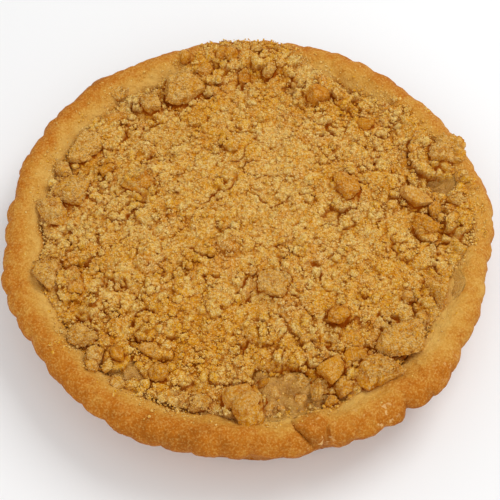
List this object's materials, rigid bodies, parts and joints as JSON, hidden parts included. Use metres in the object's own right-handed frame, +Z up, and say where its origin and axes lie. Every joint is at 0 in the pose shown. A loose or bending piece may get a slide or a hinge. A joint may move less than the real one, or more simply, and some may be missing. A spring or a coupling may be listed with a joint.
{
  "type": "apple crumble pie",
  "caption": "Round open pie: a deep fluted shortcrust case with a thick rounded rim, apple filling and a rough sandy crumble topping with larger baked lumps",
  "frame": {"origin": "middle of the flat underside of the pastry case", "axes": "+Z up; -Y towards the front of the pie, the side nearest the camera in the picture; +X to the picture's right"},
  "size_m": [0.2046, 0.2043, 0.0373],
  "materials": {
    "pastry": "baked shortcrust pastry, golden with toasted patches, matte",
    "filling": "stewed apple, greyish beige, moist and slightly glossy",
    "crumble": "baked butter crumble, sandy and matte, browner on its lumps"
  },
  "bodies": {
    "root": {"pastry_case": "pastry", "apple_filling": "filling", "crumble_topping": "crumble", "crumble_lump_01": "crumble", "crumble_lump_02": "crumble", "crumble_lump_03": "crumble", "crumble_lump_04": "crumble", "crumble_lump_05": "crumble", "crumble_lump_06": "crumble", "crumble_lump_07": "crumble", "crumble_lump_08": "crumble", "crumble_lump_09": "crumble", "crumble_lump_10": "crumble", "crumble_lump_11": "crumble", "crumble_lump_12": "crumble", "crumble_lump_13": "crumble", "crumble_lump_14": "crumble", "crumble_lump_15": "crumble", "crumble_lump_16": "crumble", "crumble_lump_17": "crumble", "crumble_lump_18": "crumble", "crumble_lump_19": "crumble", "crumble_lump_20": "crumble", "crumble_lump_21": "crumble", "crumble_lump_22": "crumble"}
  },
  "joints": []
}
